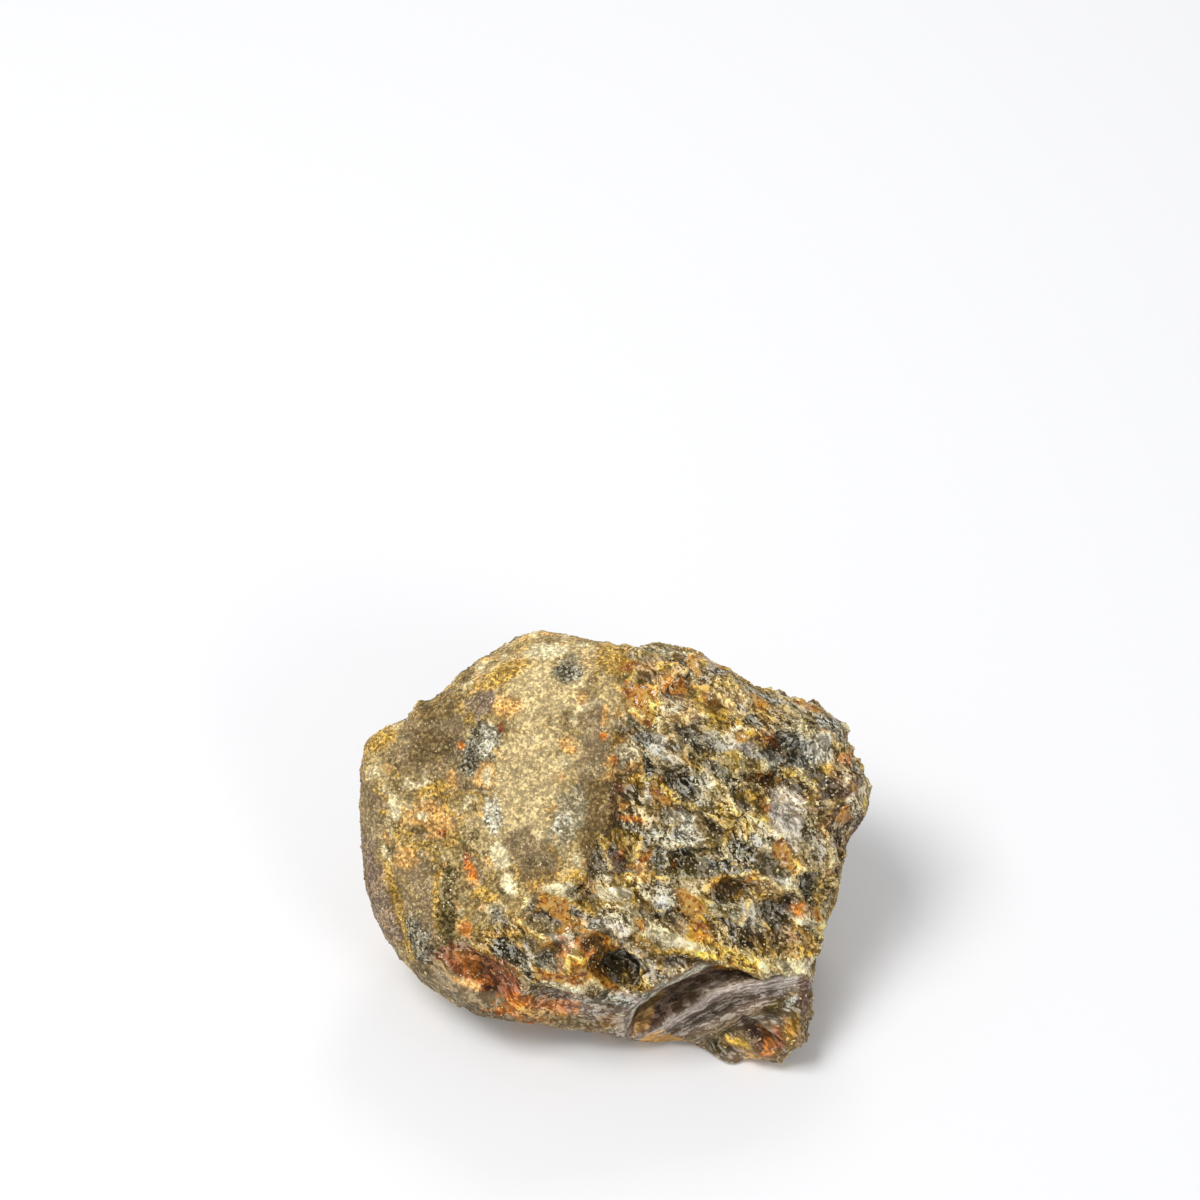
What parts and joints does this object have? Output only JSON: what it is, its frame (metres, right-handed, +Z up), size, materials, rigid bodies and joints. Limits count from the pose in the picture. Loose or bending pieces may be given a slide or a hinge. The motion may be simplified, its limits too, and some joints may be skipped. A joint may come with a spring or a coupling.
{
  "type": "raw amber piece",
  "caption": "Rough chunk of dark raw amber with a sandy crust, glossy chipped faces and small see-through windows, lying on a small worn flat.",
  "frame": {"origin": "middle of the chunk's box at the height of the flat that it lies on", "axes": "+X along its longest side, +Z up from the flat that it lies on, with the broad display face towards -Y and tipped back"},
  "size_m": [0.0598, 0.0426, 0.0363],
  "materials": {
    "resin": "rough fossil resin: matte sandy crust, glossy dark fracture faces and honey-coloured translucent windows"
  },
  "bodies": {
    "root": {"raw_amber": "resin"}
  },
  "joints": []
}
